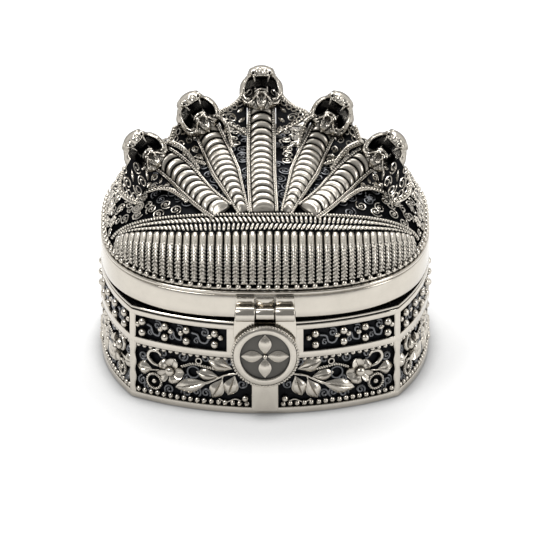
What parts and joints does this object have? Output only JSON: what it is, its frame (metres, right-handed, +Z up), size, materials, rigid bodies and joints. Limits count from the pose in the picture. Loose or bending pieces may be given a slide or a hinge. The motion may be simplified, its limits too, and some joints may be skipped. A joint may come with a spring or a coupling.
{
  "type": "keepsake box",
  "caption": "Silver filigree keepsake box with bowed pierced walls and a back-hinged domed lid that carries rearing hooded cobras, closed by a round hasp in front.",
  "frame": {"origin": "middle of the flat underside of the box, on the surface it stands on", "axes": "+Z up; -Y towards the latch, the front; +X to the right as seen from the front"},
  "size_m": [0.0908, 0.0975, 0.0781],
  "materials": {
    "polished_silver": "polished, with fine brush marks",
    "filigree_silver": "cast and wire relief, darkened in its recesses",
    "oxidised_silver": "blackened backing behind the wirework"
  },
  "bodies": {
    "box": {"floor_plate": "polished_silver", "wall_liner": "oxidised_silver", "side_frame": "polished_silver", "top_flange": "polished_silver", "lid_seat_ring": "polished_silver", "vine_panel_front": "filigree_silver", "vine_panel_right": "filigree_silver", "vine_panel_back": "filigree_silver", "vine_panel_left": "filigree_silver", "bead_panel_front_a": "filigree_silver", "bead_panel_front_b": "filigree_silver", "bead_panel_right": "filigree_silver", "bead_panel_back_a": "filigree_silver", "bead_panel_back_b": "filigree_silver", "bead_panel_left": "filigree_silver", "body_hinge_leaf": "polished_silver", "hinge_pin": "polished_silver", "keeper_stud": "polished_silver"},
    "lid": {"lid_band": "polished_silver", "lid_deck": "polished_silver", "lid_dome": "oxidised_silver", "bead_wire": "filigree_silver", "rib_bolster": "filigree_silver", "braid_band": "filigree_silver", "rope_border": "filigree_silver", "left_outer_cobra_neck": "filigree_silver", "left_inner_cobra_neck": "filigree_silver", "centre_cobra_neck": "filigree_silver", "right_inner_cobra_neck": "filigree_silver", "right_outer_cobra_neck": "filigree_silver", "left_outer_hood_outer": "filigree_silver", "left_outer_hood_inner": "filigree_silver", "left_inner_hood_outer": "filigree_silver", "left_inner_hood_inner": "filigree_silver", "centre_hood_left": "filigree_silver", "centre_hood_right": "filigree_silver", "right_inner_hood_outer": "filigree_silver", "right_inner_hood_inner": "filigree_silver", "right_outer_hood_outer": "filigree_silver", "right_outer_hood_inner": "filigree_silver", "left_outer_cobra_head": "filigree_silver", "left_inner_cobra_head": "filigree_silver", "centre_cobra_head": "filigree_silver", "right_inner_cobra_head": "filigree_silver", "right_outer_cobra_head": "filigree_silver", "lid_hinge_leaf": "polished_silver", "latch_lug": "polished_silver", "latch_pin": "polished_silver"},
    "hasp": {"hasp_plate": "polished_silver", "medallion_ring": "filigree_silver", "medallion_flower": "filigree_silver"}
  },
  "joints": [
    {"name": "lid_hinge", "type": "hinge", "parent": "box", "child": "lid", "pos_m": [0, 0.0471, 0.0282], "axis": [-1, 0, 0], "range_deg": [0, 100]},
    {"name": "hasp_hinge", "type": "hinge", "parent": "lid", "child": "hasp", "pos_m": [0, -0.0462, 0.0315], "axis": [-1, 0, 0], "range_deg": [0, 110]}
  ]
}
